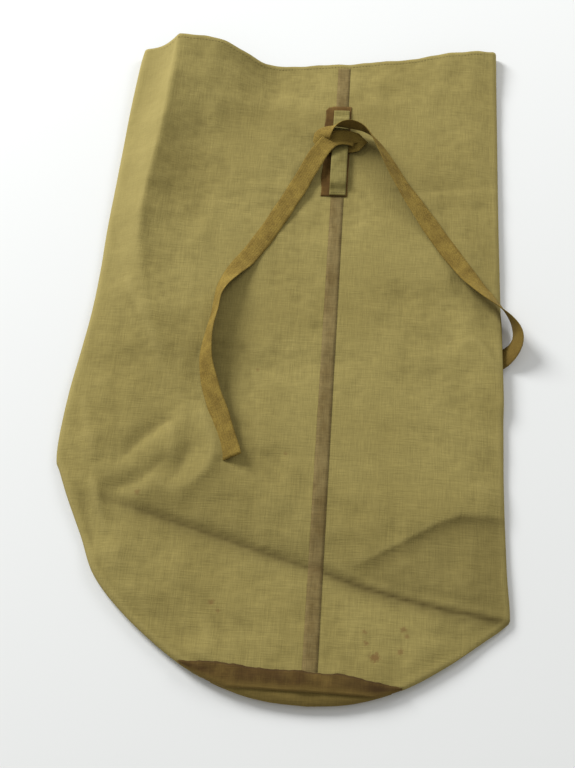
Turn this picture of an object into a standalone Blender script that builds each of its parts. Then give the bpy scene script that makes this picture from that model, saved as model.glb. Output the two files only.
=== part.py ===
"""Empty canvas mail sack with a round base, lying on its back, with its tie threaded through a keeper.

Frame: metres, +Z up, +Y towards the mouth, +X to the right of someone who looks at the seam side.
The sack rests on z = 0 and the origin is under the middle of its box.
The tube of cloth is described by its flat outline and by two height functions, one for the layer on
top and one for the layer underneath. Everything sewn or stuck on takes its place from those.
"""
import math

import bmesh
import bpy
import numpy as np
from mathutils import Vector

# Driving dimensions of the laid sack
LAID_WIDTH = 0.508          # flat width of the tube, half of its girth
LAID_LENGTH = 0.904         # from the bottom of the fold to the highest point of the mouth
CLOTH = 0.0010              # canvas thickness
GAP = 0.0003                # clearance between pieces that touch
PLATEAU = 0.0140            # height of the top layer over the middle of the sack
SIDE_ROLL = 0.018           # reach of the rounding along the folded edges

# Outline
DRAW_IN = 0.024             # how far the left fold is pulled in at the mouth
LEFT_CORNER = 0.322         # height above the bottom where the left fold starts to curve in
RIGHT_CORNER = 0.102        # the same on the right
LEFT_POWER = 2.0            # an ellipse on the left
RIGHT_POWER = 1.5           # a flatter, more pointed corner on the right
BASE_X = 0.030              # where the outline reaches its lowest point
MOUTH_SLANT = 0.0300        # how much further the mouth reaches at its right corner
MOUTH_TURN = 0.0200         # how much further it reaches at the arch

# Arch where the mouth stands open, on the left
ARCH_INSET = 0.071          # crest of the arch, measured in from the left fold line
ARCH_RISE = 0.0300
ARCH_LEFT = 0.026           # widths of the arch to both sides of its crest
ARCH_RIGHT = 0.060
ARCH_REACH = 0.340          # how far the arch runs down from the mouth
MOUTH_DROP = 0.0030         # how much lower the top layer lies in the middle of the mouth
CORNER_RISE = 0.0080        # lift of the right corner of the mouth
CORNER_REACH = 0.120

# Round base
BASE_RADIUS = LAID_WIDTH / math.pi     # the base is sewn to the whole girth, 2 * LAID_WIDTH
LIP = 0.0210                # how far the base is rolled up onto the top side
LIP_END = 0.014             # the rolled-up part ends this far inside the outline
BASE_RISE = 0.0008          # lift of the rim of the base over the tape under it
SEAM_OVERLAP = 0.010        # seam allowance of the tube on the base
CUT_HEIGHT = 0.0058         # height, inside the hollow, up to which the tube is cut open

# Tapes
SEAM_X = 0.0906 * LAID_WIDTH            # the one seam of the tube
SEAM_TAPE_WIDTH = 0.0165
TAPE = 0.0005               # thickness of the proofed tapes
BASE_TAPE_WIDTH = 0.024
HEM_DEPTH = 0.008
THREAD = 0.0008
STITCH_INSET = 0.0050       # stitch line of the hem, measured from the mouth

# Keeper, a strip sewn over the seam at both ends
KEEPER_TOP = 0.090          # distance of its upper end from the mouth at the seam
KEEPER_LENGTH = 0.135
KEEPER_WIDTH = 0.021
KEEPER_TUNNEL = 0.0048      # free height under the strip
KEEPER_END = 0.008          # sewn flat at each end
KEEPER_RAMP = 0.010         # from the sewn end up to the free height
PATCH_LEFT = 0.011          # how far the patch shows to the left of the strip
PATCH_RIGHT = 0.002
PATCH_END = 0.008           # how far it shows above the strip

# Tie, a flat woven tape threaded under the keeper and crossed over itself
TIE_WIDTH = 0.024
TIE = 0.0012
TIE_PASSAGE = 0.0034        # lift of the sack over the tail of the tie that lies under it
TIE_PASSAGE_Y = (-0.085, 0.012)
TIE_PASSAGE_REACH = 0.125   # how far in from the right fold
# Points along the tie from its loose end: x, y, height, and the tilt of its width in degrees
TIE_ROUTE = (
    (-0.0560, -0.1820, 0.0190, 20), (-0.0660, -0.1550, 0.0196, 22), (-0.0760, -0.1280, 0.0204, 26),
    (-0.0860, -0.1030, 0.0213, 32), (-0.0940, -0.0790, 0.0226, 40), (-0.0985, -0.0570, 0.0239, 48),
    (-0.0985, -0.0370, 0.0249, 56), (-0.0960, -0.0160, 0.0256, 62), (-0.0925, 0.0050, 0.0258, 64),
    (-0.0910, 0.0260, 0.0256, 62), (-0.0860, 0.0470, 0.0235, 44), (-0.0750, 0.0700, 0.0192, 20),
    (-0.0600, 0.0930, 0.0164, 4), (-0.0420, 0.1260, 0.0155, 0), (-0.0220, 0.1670, 0.0155, 0),
    (-0.0050, 0.2040, 0.0160, 0), (0.0080, 0.2340, 0.0182, 0), (0.0200, 0.2580, 0.0222, 0),
    (0.0335, 0.2755, 0.0250, 0), (0.0475, 0.2812, 0.0254, 0), (0.0615, 0.2808, 0.0242, 0),
    (0.0700, 0.2785, 0.0210, 0), (0.0630, 0.2762, 0.0184, 0), (0.0520, 0.2745, 0.0181, 0),
    (0.0430, 0.2740, 0.0181, 0), (0.0340, 0.2740, 0.0181, 0), (0.0260, 0.2755, 0.0188, 0),
    (0.0215, 0.2790, 0.0226, 2), (0.0245, 0.2850, 0.0278, 16), (0.0345, 0.2930, 0.0322, 46),
    (0.0480, 0.2970, 0.0345, 72), (0.0620, 0.2970, 0.0345, 78), (0.0770, 0.2920, 0.0328, 72),
    (0.0895, 0.2805, 0.0300, 60), (0.1010, 0.2620, 0.0270, 48), (0.1130, 0.2400, 0.0248, 38),
    (0.1270, 0.2140, 0.0225, 30), (0.1470, 0.1820, 0.0192, 16), (0.1680, 0.1500, 0.0166, 6),
    (0.1860, 0.1230, 0.0160, 4), (0.2000, 0.1010, 0.0170, 8), (0.2130, 0.0810, 0.0192, 18),
    (0.2250, 0.0650, 0.0214, 30), (0.2375, 0.0510, 0.0228, 42), (0.2510, 0.0375, 0.0212, 58),
    (0.2640, 0.0230, 0.0172, 80), (0.2710, 0.0070, 0.0140, 106), (0.2700, -0.0070, 0.0115, 130),
    (0.2630, -0.0185, 0.0082, 152), (0.2520, -0.0280, 0.0042, 170), (0.2380, -0.0345, 0.0017, 180),
    (0.2200, -0.0390, 0.0014, 180), (0.2000, -0.0420, 0.0014, 180), (0.1750, -0.0450, 0.0014, 180),
    (0.1540, -0.0490, 0.0014, 180),
)
TIE_STEP = 0.0060           # distance between cross-sections of the tie
ROUTE_WIDTH, ROUTE_LENGTH, ROUTE_PLATEAU = 0.508, 0.904, 0.0140     # the sack that the route is given for

LEFT, RIGHT = -LAID_WIDTH / 2, LAID_WIDTH / 2
BOTTOM, TOP = -LAID_LENGTH / 2, LAID_LENGTH / 2
MOUTH_Y = TOP - MOUTH_SLANT             # the mouth at the seam
BASE_SEAM_Y = BOTTOM + LIP              # front stretch of the base seam
BASE_TOP = BOTTOM + 2 * BASE_RADIUS - LIP - 0.5 * PLATEAU
BASE_Y = BASE_TOP - BASE_RADIUS         # centre of the base where it lies flat

# Mesh stations
BODY_ROWS = 26
SIDE_STATIONS = (0.0, 0.0016, 0.0055, 0.0110, SIDE_ROLL)
BASE_SIDE_COLUMNS = 7       # columns of the base to each side of its rolled-up part
BASE_LIP_COLUMNS = 16       # columns across the rolled-up part
LIP_ROWS = 7
PLATE_ROWS = 14


def ramp(value):
    """Smooth step from 0 to 1 as value goes from 0 to 1."""
    t = min(max(value, 0.0), 1.0)
    return t * t * (3.0 - 2.0 * t)


def roll(distance):
    """Rounded rise from a folded edge: 0 on the edge, 1 from SIDE_ROLL inwards."""
    t = 1.0 - min(max(distance / SIDE_ROLL, 0.0), 1.0)
    return math.sqrt(1.0 - t * t)


def corner(y, start, height, width, power):
    """Half width of the outline below start, where it curves in to the lowest point."""
    drop = min(max((start - y) / height, 0.0), 1.0)
    return width * (1.0 - drop ** power) ** (1.0 / power)


def left_edge(y):
    if y < BOTTOM + LEFT_CORNER:
        return BASE_X - corner(y, BOTTOM + LEFT_CORNER, LEFT_CORNER, BASE_X - LEFT, LEFT_POWER)
    along = (y - BOTTOM - LEFT_CORNER) / (LAID_LENGTH - LEFT_CORNER)
    return LEFT + DRAW_IN * min(along, 1.0) ** 1.5


def right_edge(y):
    if y < BOTTOM + RIGHT_CORNER:
        return BASE_X + corner(y, BOTTOM + RIGHT_CORNER, RIGHT_CORNER, RIGHT - BASE_X, RIGHT_POWER)
    return RIGHT


def bottom_edge(x):
    """Lowest point of the outline at x."""
    if x < BASE_X:
        across, height, power = (BASE_X - x) / (BASE_X - LEFT), LEFT_CORNER, LEFT_POWER
    else:
        across, height, power = (x - BASE_X) / (RIGHT - BASE_X), RIGHT_CORNER, RIGHT_POWER
    across = min(across, 1.0)
    return BOTTOM + height * (1.0 - (1.0 - across ** power) ** (1.0 / power))


def mouth_shift(x):
    """How far the mouth reaches past its line at the seam."""
    slant = MOUTH_SLANT * ramp((x - SEAM_X) / (RIGHT - SEAM_X))
    return slant + MOUTH_TURN * arch_profile(x)


def arch_profile(x):
    offset = x - (LEFT + ARCH_INSET)
    width = ARCH_LEFT if offset < 0.0 else ARCH_RIGHT
    return math.exp(-(offset / width) ** 2)


def crown(x, y):
    """Height of the top layer away from the folded edges."""
    arch = ARCH_RISE * arch_profile(x) * ramp(1.0 - (MOUTH_Y - y) / ARCH_REACH)
    near_mouth = ramp(1.0 - (MOUTH_Y - y) / (KEEPER_TOP + 0.01))
    middle = math.exp(-((x - SEAM_X) / 0.10) ** 2)
    lift = CORNER_RISE * math.exp(-((RIGHT - x) / 0.09) ** 2) * ramp(1.0 - (MOUTH_Y - y) / CORNER_REACH)
    return PLATEAU + arch + lift - MOUTH_DROP * near_mouth * middle


def base_distance(x, y):
    """Distance outside the rim of the base where it lies flat; negative inside."""
    return math.hypot(x - BASE_X, max(y - BASE_Y, 0.0)) - BASE_RADIUS


def tie_lift(x, y):
    """Lift of the lower layer over the tail of the tie."""
    low, high = TIE_PASSAGE_Y
    along = ramp((y - low) / 0.03 + 1.0) * ramp((high - y) / 0.03 + 1.0)
    inner = RIGHT - TIE_PASSAGE_REACH
    edge = 1.0 + 0.9 * ramp((x - RIGHT + 0.035) / 0.03)
    return TIE_PASSAGE * along * ramp((x - inner) / 0.03 + 1.0) * edge


def floor_height(x, y):
    """Underside of the tube's lower layer."""
    over_base = BASE_RISE + CLOTH + GAP
    sewn = over_base * ramp(1.0 - (base_distance(x, y) - 0.006) / 0.05)
    return max(sewn, tie_lift(x, y))


def side_distance(x, y):
    return min(x - left_edge(y), right_edge(y) - x)


def waist(x, y):
    """Height of the folded edge itself."""
    low = floor_height(x, y)
    return low + 0.45 * (crown(x, y) - low) * (PLATEAU / crown(x, y))


def top_height(x, y):
    """Outer face of the top layer."""
    mid = waist(x, y)
    rounding = roll(side_distance(x, y)) * roll(y - bottom_edge(x))
    return mid + (crown(x, y) - mid) * rounding


def under_height(x, y):
    """Outer face of the lower layer."""
    mid = waist(x, y)
    rounding = roll(side_distance(x, y)) * roll(y - bottom_edge(x))
    return mid - (mid - floor_height(x, y)) * rounding


def material(name, colour, roughness):
    mat = bpy.data.materials.new(name)
    mat.use_nodes = True
    shader = mat.node_tree.nodes["Principled BSDF"]
    shader.inputs["Base Color"].default_value = (*colour, 1.0)
    shader.inputs["Roughness"].default_value = roughness
    shader.inputs["Metallic"].default_value = 0.0
    return mat


def add_object(name, verts, faces, mat):
    """Object from points and faces, shaded smooth."""
    mesh = bpy.data.meshes.new(name)
    mesh.from_pydata([tuple(v) for v in verts], [], faces)
    mesh.materials.append(mat)
    mesh.shade_smooth()
    obj = bpy.data.objects.new(name, mesh)
    bpy.context.collection.objects.link(obj)
    return obj


def thicken(obj, thickness, offset):
    """Turn an open sheet into a closed piece of cloth. Offset -1 is inwards, 0 is both ways."""
    solid = obj.modifiers.new("thickness", "SOLIDIFY")
    solid.thickness = thickness
    solid.offset = offset
    solid.use_rim = True
    return obj


def sheet(name, rows, mat, closed=False):
    """Open sheet from equal rows of points. Closed joins the ends of each row into a tube."""
    count = len(rows[0])
    verts = [point for row in rows for point in row]
    faces = []
    for r in range(len(rows) - 1):
        for i in range(count if closed else count - 1):
            j = (i + 1) % count
            faces.append((r * count + i, r * count + j, (r + 1) * count + j, (r + 1) * count + i))
    return add_object(name, verts, faces, mat)


def across_stations(y):
    """X positions from the left fold to the right fold, closer where the surface turns."""
    left, right = left_edge(y), right_edge(y)
    start, end = left + SIDE_ROLL, right - SIDE_ROLL
    near = [SEAM_X - 0.028, SEAM_X - 0.009, SEAM_X + 0.009, SEAM_X + 0.028]
    inner = list(np.linspace(start, near[0], 13)) + near[1:3] + list(np.linspace(near[3], end, 7))
    return [left + d for d in SIDE_STATIONS[:-1]] + inner + [right - d for d in SIDE_STATIONS[-2::-1]]


def tube_loop(y, inset, shift):
    """One turn round the tube at y, inset towards the hollow; shift moves its points up to the mouth."""
    stations = across_stations(y)
    loop = [Vector((x, 0.0, top_height(x, y))) for x in stations]
    loop += [Vector((x, 0.0, under_height(x, y))) for x in stations[-2:0:-1]]
    moved = []
    for i, point in enumerate(loop):
        before = (point - loop[i - 1]).normalized()
        after = (loop[(i + 1) % len(loop)] - point).normalized()
        outward = (before + after).normalized().cross(Vector((0.0, 1.0, 0.0)))
        spread = max((before + after).length / 2, 0.7)
        place = point - outward * (inset / spread)
        moved.append((place.x, y + shift * mouth_shift(place.x), place.z))
    return moved


def body_rows():
    """Y positions from the base seam to the mouth."""
    low = list(np.linspace(BASE_SEAM_Y, BASE_SEAM_Y + 0.03, 5))
    return low + list(np.linspace(low[-1], MOUTH_Y, BODY_ROWS)[1:])


def mouth_share(y):
    """How much of the mouth's slant the cloth at y follows."""
    return ramp((y - MOUTH_Y + 0.20) / 0.20)


def base_cutter(mat):
    """Prism that opens the lower layer inside the rim of the base, less the seam allowance."""
    radius = BASE_RADIUS - SEAM_OVERLAP
    angles = np.linspace(0.0, math.pi, 25)
    outline = [(BASE_X + radius * math.cos(a), BASE_Y + radius * math.sin(a)) for a in angles]
    outline += [(BASE_X - radius, BOTTOM - 0.02), (BASE_X + radius, BOTTOM - 0.02)]
    count = len(outline)
    verts = [(x, y, -0.01) for x, y in outline] + [(x, y, CUT_HEIGHT) for x, y in outline]
    faces = [tuple(range(count))[::-1], tuple(range(count, 2 * count))]
    faces += [(i, (i + 1) % count, (i + 1) % count + count, i + count) for i in range(count)]
    cutter = add_object("base_cutter", verts, faces, mat)
    cutter.hide_render = True
    cutter.display_type = "WIRE"
    return cutter


def make_body(mat):
    rows = [tube_loop(y, 0.0, mouth_share(y)) for y in body_rows()]
    body = thicken(sheet("body_panel", rows, mat, closed=True), CLOTH, -1.0)
    cut = body.modifiers.new("open_base", "BOOLEAN")
    cut.operation = "DIFFERENCE"
    cut.object = base_cutter(mat)
    return body


def make_hem(mat):
    depth = (HEM_DEPTH, 0.5 * HEM_DEPTH, 0.0005)
    inset = CLOTH + 2 * GAP
    rows = [tube_loop(MOUTH_Y - d, inset, mouth_share(MOUTH_Y - d)) for d in depth]
    return thicken(sheet("mouth_hem", rows, mat, closed=True), CLOTH, -1.0)


def plate_height(x, y):
    """Underside of the base: it lies on the floor and rises at its rim over the tape."""
    return BASE_RISE * ramp((base_distance(x, y) + 1.5 * BASE_TAPE_WIDTH) / 0.022)


def make_base(mat):
    """The base: flat underneath, rolled up at the bottom to meet the tube on the top side."""
    seam_y = BASE_SEAM_Y - GAP
    lip_left, lip_right = left_edge(seam_y) + LIP_END, right_edge(seam_y) - LIP_END
    reach = BASE_RADIUS - 0.002
    columns = list(np.linspace(BASE_X - reach, lip_left, BASE_SIDE_COLUMNS + 1))
    columns += list(np.linspace(lip_left, lip_right, BASE_LIP_COLUMNS)[1:])
    columns += list(np.linspace(lip_right, BASE_X + reach, BASE_SIDE_COLUMNS + 1)[1:])
    verts, index = [], {}
    for i, x in enumerate(columns):
        edge = bottom_edge(x)
        has_lip = BASE_SIDE_COLUMNS <= i < BASE_SIDE_COLUMNS + BASE_LIP_COLUMNS
        top_end = BASE_Y + math.sqrt(max(BASE_RADIUS ** 2 - (x - BASE_X) ** 2, 0.0))
        if has_lip:
            for j in range(LIP_ROWS):
                turn = math.cos(0.5 * math.pi * j / LIP_ROWS)
                y = edge + (seam_y - edge) * (1.0 - math.sqrt(1.0 - turn * turn))
                index[i, j] = len(verts)
                verts.append((x, y, top_height(x, y)))
        start = edge if has_lip else max(edge, BOTTOM) + 0.012
        for j in range(PLATE_ROWS):
            share = (j / (PLATE_ROWS - 1)) ** 1.6
            y = start + (top_end - start) * share
            index[i, LIP_ROWS + j] = len(verts)
            if has_lip:
                rounding = roll(3.0 * (y - edge))
                z = waist(x, edge) * (1.0 - rounding) + plate_height(x, y) * rounding
            else:
                z = plate_height(x, y)
            verts.append((x, y, z))
    faces = []
    for i in range(len(columns) - 1):
        for j in range(LIP_ROWS + PLATE_ROWS - 1):
            corners = [(i, j), (i, j + 1), (i + 1, j + 1), (i + 1, j)]
            if all(key in index for key in corners):
                faces.append(tuple(index[key] for key in corners))
    return thicken(add_object("base_disc", verts, faces, mat), CLOTH, -1.0)


def top_strip(name, xs, ys, base, thickness, mat, lift=None):
    """Strip on the top layer: its underside is base above the cloth, plus an own lift."""
    rows = []
    for y in ys:
        extra = lift(y) if lift else 0.0
        share = mouth_share(y)
        rows.append([(x, y + share * mouth_shift(x), top_height(x, y) + base + extra) for x in xs])
    return thicken(sheet(name, rows, mat), thickness, 1.0)


def make_seam_tape(mat):
    half = SEAM_TAPE_WIDTH / 2
    end = BASE_SEAM_Y + BASE_TAPE_WIDTH * 0.5 + GAP
    ys = [y for y in body_rows() if y > end + 0.002]
    ys = [end] + ys[:-1] + [MOUTH_Y - STITCH_INSET - 2 * THREAD]
    xs = [SEAM_X - half, SEAM_X, SEAM_X + half]
    return top_strip("seam_tape", xs, ys, GAP, TAPE, mat)


def make_base_tape(mat):
    """Front stretch of the tape over the base seam, on both the tube and the base."""
    low = BASE_SEAM_Y - 0.40 * BASE_TAPE_WIDTH
    high = BASE_SEAM_Y + 0.50 * BASE_TAPE_WIDTH
    left, right = left_edge(high) + 0.008, right_edge(high) - 0.008
    columns = []
    for x in np.linspace(left, right, 22):
        start = max(low, bottom_edge(x) + 0.0025)
        ys = np.linspace(start, high, 8)
        columns.append([(x, y, top_height(x, y) + 2 * GAP) for y in ys])
    return thicken(sheet("base_tape_front", columns, mat), TAPE, -1.0)


def make_under_tape(mat):
    """Stretch of the same tape under the sack, round the rim of the base."""
    half = BASE_TAPE_WIDTH / 2
    rows = []
    start = bottom_edge(BASE_X - BASE_RADIUS + half) + 0.030
    end = bottom_edge(BASE_X + BASE_RADIUS - half) + 0.024
    for y in np.linspace(start, BASE_Y, 3)[:-1]:
        rows.append([(BASE_X - BASE_RADIUS + side, y, 0.0) for side in (-half, half)])
    for angle in np.linspace(math.pi, 0.0, 25):
        out = Vector((math.cos(angle), math.sin(angle), 0.0))
        centre = Vector((BASE_X, BASE_Y, 0.0))
        rows.append([centre + out * (BASE_RADIUS - side) for side in (-half, half)])
    for y in np.linspace(BASE_Y, end, 3)[1:]:
        rows.append([(BASE_X + BASE_RADIUS - side, y, 0.0) for side in (-half, half)])
    return thicken(sheet("base_tape_under", rows, mat), TAPE, 1.0)


def keeper_rows():
    top = MOUTH_Y - KEEPER_TOP
    bottom = top - KEEPER_LENGTH
    ends = [bottom, bottom + KEEPER_END, bottom + KEEPER_END + 0.5 * KEEPER_RAMP]
    start, stop = bottom + KEEPER_END + KEEPER_RAMP, top - KEEPER_END - KEEPER_RAMP
    return ends + list(np.linspace(start, stop, 7)) + [top - KEEPER_END - 0.5 * KEEPER_RAMP,
                                                       top - KEEPER_END, top]


def keeper_lift(y):
    top = MOUTH_Y - KEEPER_TOP
    near = min(y - (top - KEEPER_LENGTH), top - y) - KEEPER_END
    return KEEPER_TUNNEL * ramp(near / KEEPER_RAMP)


def make_keeper(patch_mat, strip_mat, thread_mat):
    half = KEEPER_WIDTH / 2
    top = MOUTH_Y - KEEPER_TOP
    patch_base = GAP + TAPE + GAP
    patch_xs = [SEAM_X - half - PATCH_LEFT, SEAM_X - half, SEAM_X, SEAM_X + half + PATCH_RIGHT]
    patch_ys = np.linspace(top - KEEPER_LENGTH - 0.001, top + PATCH_END, 8)
    top_strip("keeper_patch", patch_xs, patch_ys, patch_base, TAPE, patch_mat)
    strip_base = patch_base + TAPE + GAP
    xs = [SEAM_X - half, SEAM_X, SEAM_X + half]
    top_strip("keeper_strip", xs, keeper_rows(), strip_base, CLOTH, strip_mat, keeper_lift)
    thread_base = strip_base + CLOTH + GAP
    for name, y in (("upper", top - 0.004), ("lower", top - KEEPER_LENGTH + 0.004)):
        thread_xs = np.linspace(SEAM_X - half + 0.002, SEAM_X + half - 0.002, 5)
        top_strip("keeper_stitch_" + name, thread_xs, [y - THREAD / 2, y + THREAD / 2],
                  thread_base, THREAD, thread_mat)


def make_hem_stitching(mat):
    y = MOUTH_Y - STITCH_INSET
    xs = across_stations(y)[3:-3]
    return top_strip("hem_stitching", xs, [y - THREAD / 2, y + THREAD / 2], GAP, THREAD, mat)


def catmull(points, share):
    """Point on a smooth curve through four points, between the middle two."""
    a, b, c, d = (np.array(p) for p in points)
    t = share
    return 0.5 * (2 * b + (c - a) * t + (2 * a - 5 * b + 4 * c - d) * t * t
                  + (3 * b - a - 3 * c + d) * t ** 3)


def tie_point(x, y, z, tilt):
    """Point of the route on a sack of any size: it stays at the keeper, over the cloth and in its passage."""
    share = min(max((y + 0.02) / 0.22, 0.0), 1.0)
    return (x * LAID_WIDTH / ROUTE_WIDTH, y + share * (LAID_LENGTH - ROUTE_LENGTH) / 2,
            z * PLATEAU / ROUTE_PLATEAU, tilt)


def tie_curve():
    """Even points along the tie's route, each with its tilt."""
    points = [tie_point(*point) for point in TIE_ROUTE]
    route = [points[0]] + points + [points[-1]]
    fine = []
    for i in range(len(points) - 1):
        fine += [catmull(route[i:i + 4], s) for s in np.linspace(0.0, 1.0, 12, endpoint=False)]
    fine.append(np.array(points[-1], float))
    fine = np.array(fine)
    lengths = np.linalg.norm(np.diff(fine[:, :3], axis=0), axis=1)
    along = np.concatenate([[0.0], np.cumsum(lengths)])
    marks = np.linspace(0.0, along[-1], int(along[-1] / TIE_STEP) + 1)
    return np.stack([np.interp(marks, along, fine[:, k]) for k in range(4)], axis=1)


def make_tie(mat):
    """Flat tape: at each point its width is level across the route, then tilted about it."""
    curve = tie_curve()
    tangents = np.gradient(curve[:, :3], axis=0)
    rows, previous = [], Vector((1.0, 0.0, 0.0))
    for point, tangent in zip(curve, tangents):
        along = Vector(tangent).normalized()
        level = along.cross(Vector((0.0, 0.0, 1.0)))
        across = level.normalized() if level.length > 0.5 else previous
        if across.dot(previous) < 0.0:
            across = -across
        across = (across - along * across.dot(along)).normalized()
        previous = across
        normal = across.cross(along)
        tilt = math.radians(point[3])
        side = across * math.cos(tilt) + normal * math.sin(tilt)
        centre = Vector(point[:3])
        rows.append([centre + side * offset for offset in (-TIE_WIDTH / 2, 0.0, TIE_WIDTH / 2)])
    return thicken(sheet("tie_tape", rows, mat), TIE, 0.0)


def main():
    for obj in list(bpy.data.objects):
        bpy.data.objects.remove(obj, do_unlink=True)
    canvas = material("canvas", (0.30, 0.25, 0.10), 0.90)
    base_canvas = material("base_canvas", (0.22, 0.15, 0.05), 0.90)
    proofed = material("proofed_tape", (0.16, 0.11, 0.04), 0.60)
    webbing = material("webbing", (0.32, 0.23, 0.07), 0.85)
    strip = material("keeper_cloth", (0.25, 0.23, 0.10), 0.85)
    thread = material("thread", (0.35, 0.30, 0.16), 0.80)
    make_body(canvas)
    make_hem(canvas)
    make_hem_stitching(thread)
    make_base(base_canvas)
    make_seam_tape(proofed)
    make_base_tape(proofed)
    make_under_tape(proofed)
    make_keeper(proofed, strip, thread)
    make_tie(webbing)


main()
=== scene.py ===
"""Looks of the empty canvas mail sack: cloth with its creases, tapes, keeper, stitches and woven tie."""
import math

import bpy
import numpy as np
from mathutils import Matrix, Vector


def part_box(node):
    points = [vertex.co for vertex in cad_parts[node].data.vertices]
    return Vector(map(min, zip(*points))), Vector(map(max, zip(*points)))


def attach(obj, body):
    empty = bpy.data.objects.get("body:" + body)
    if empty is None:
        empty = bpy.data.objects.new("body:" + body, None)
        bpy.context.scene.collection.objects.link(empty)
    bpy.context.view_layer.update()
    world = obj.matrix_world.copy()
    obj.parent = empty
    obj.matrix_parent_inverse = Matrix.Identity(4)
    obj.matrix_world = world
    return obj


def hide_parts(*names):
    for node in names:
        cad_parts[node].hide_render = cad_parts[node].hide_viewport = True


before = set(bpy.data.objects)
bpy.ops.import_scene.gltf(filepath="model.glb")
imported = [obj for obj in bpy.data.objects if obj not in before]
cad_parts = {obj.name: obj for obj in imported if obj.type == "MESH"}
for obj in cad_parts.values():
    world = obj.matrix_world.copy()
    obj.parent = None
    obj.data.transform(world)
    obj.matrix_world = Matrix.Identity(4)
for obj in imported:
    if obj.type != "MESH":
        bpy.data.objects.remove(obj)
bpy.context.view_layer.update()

# ---------------------------------------------------------------- sizes, in metres, from the frame
BODY_LOW, BODY_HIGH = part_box("body_panel")
BASE_LOW, BASE_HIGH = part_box("base_disc")
SEAM_LOW, SEAM_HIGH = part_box("seam_tape")
STRIP_LOW, STRIP_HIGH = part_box("keeper_strip")
PATCH_LOW, PATCH_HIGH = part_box("keeper_patch")
BAND_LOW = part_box("base_tape_front")[0]

LEFT, RIGHT = -BODY_HIGH.x, BODY_HIGH.x
BOTTOM, TOP = BASE_LOW.y, -BASE_LOW.y
CLOTH = 0.0010              # canvas thickness
GAP = 0.0003                # clearance between pieces that touch
PLATEAU = BASE_HIGH.z       # height of the top layer over the middle of the sack
SEAM_X = 0.5 * (SEAM_LOW.x + SEAM_HIGH.x)
BASE_SEAM_Y = BODY_LOW.y    # front stretch of the base seam
BASE_RADIUS = (RIGHT - LEFT) / math.pi
SEAM_OVERLAP = 0.010        # how far the base reaches past the opening of the lower layer

BASE_X = 0.030              # middle of the round base
MOUTH_SLANT = 0.030         # from the highest point of the mouth down to its level before it is slanted
MOUTH_Y = TOP - MOUTH_SLANT
LIP = BASE_SEAM_Y - BOTTOM  # how far the base is rolled up onto the top side
BASE_Y = BOTTOM + BASE_RADIUS - LIP - 0.5 * PLATEAU
TIE_PASSAGE = 0.0034        # lift of the sack over the tail of the tie under it
TIE_PASSAGE_REACH = 0.125
TIE_PASSAGE_Y = (-0.085, 0.012)
CALM_RISE = 0.0005          # how much the cloth may stand up where the tie lies and slides
MIDDLE_GAP = 0.0010         # least distance of the lower layer's inner stations from the middle

# Keeper
HALF_SEAM_TAPE = 0.0085
KEEPER_END = 0.008          # sewn flat at each end
KEEPER_RAMP = 0.010         # from the sewn end up to the free height
KEEPER_TUNNEL = 0.00515     # free height under the strip
PATCH_BASE = 0.0009         # underside of the backing over the cloth, on the seam tape
PATCH_THICKNESS = 0.0005
STRIP_THICKNESS = 0.0011

# Tie: x, y, height and tilt of its width in degrees, from its loose end
TIE_WIDTH, TIE = 0.024, 0.0014
TIE_ROUTE = (
    (-0.0560, -0.1820, 0.0190, 20), (-0.0660, -0.1550, 0.0196, 22), (-0.0760, -0.1280, 0.0204, 26),
    (-0.0860, -0.1030, 0.0213, 32), (-0.0940, -0.0790, 0.0226, 40), (-0.0985, -0.0570, 0.0239, 48),
    (-0.0985, -0.0370, 0.0249, 56), (-0.0960, -0.0160, 0.0256, 62), (-0.0925, 0.0050, 0.0258, 64),
    (-0.0910, 0.0260, 0.0256, 62), (-0.0860, 0.0470, 0.0235, 44), (-0.0750, 0.0700, 0.0192, 20),
    (-0.0600, 0.0930, 0.0164, 4), (-0.0420, 0.1260, 0.0155, 0), (-0.0220, 0.1670, 0.0155, 0),
    (-0.0050, 0.2040, 0.0160, 0), (0.0080, 0.2340, 0.0182, 0), (0.0200, 0.2580, 0.0222, 0),
    (0.0335, 0.2755, 0.0250, 0), (0.0475, 0.2812, 0.0254, 0), (0.0615, 0.2808, 0.0242, 0),
    (0.0700, 0.2785, 0.0210, 0), (0.0630, 0.2762, 0.0184, 0), (0.0520, 0.2745, 0.0181, 0),
    (0.0430, 0.2740, 0.0181, 0), (0.0340, 0.2740, 0.0181, 0), (0.0260, 0.2755, 0.0188, 0),
    (0.0215, 0.2790, 0.0226, 2), (0.0245, 0.2850, 0.0278, 16), (0.0345, 0.2930, 0.0322, 46),
    (0.0480, 0.2970, 0.0345, 72), (0.0620, 0.2970, 0.0345, 78), (0.0770, 0.2920, 0.0328, 72),
    (0.0895, 0.2805, 0.0300, 60), (0.1010, 0.2620, 0.0270, 48), (0.1130, 0.2400, 0.0248, 38),
    (0.1270, 0.2140, 0.0225, 30), (0.1470, 0.1820, 0.0192, 16), (0.1680, 0.1500, 0.0166, 6),
    (0.1860, 0.1230, 0.0160, 4), (0.2000, 0.1010, 0.0170, 8), (0.2130, 0.0810, 0.0192, 18),
    (0.2250, 0.0650, 0.0214, 30), (0.2375, 0.0510, 0.0228, 42), (0.2510, 0.0375, 0.0212, 58),
    (0.2640, 0.0230, 0.0172, 80), (0.2710, 0.0070, 0.0140, 106), (0.2700, -0.0070, 0.0115, 130),
    (0.2630, -0.0185, 0.0082, 152), (0.2520, -0.0280, 0.0042, 170), (0.2380, -0.0345, 0.0017, 180),
    (0.2200, -0.0390, 0.0014, 180), (0.2000, -0.0420, 0.0014, 180), (0.1750, -0.0450, 0.0014, 180),
    (0.1540, -0.0490, 0.0014, 180),
)


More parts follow.
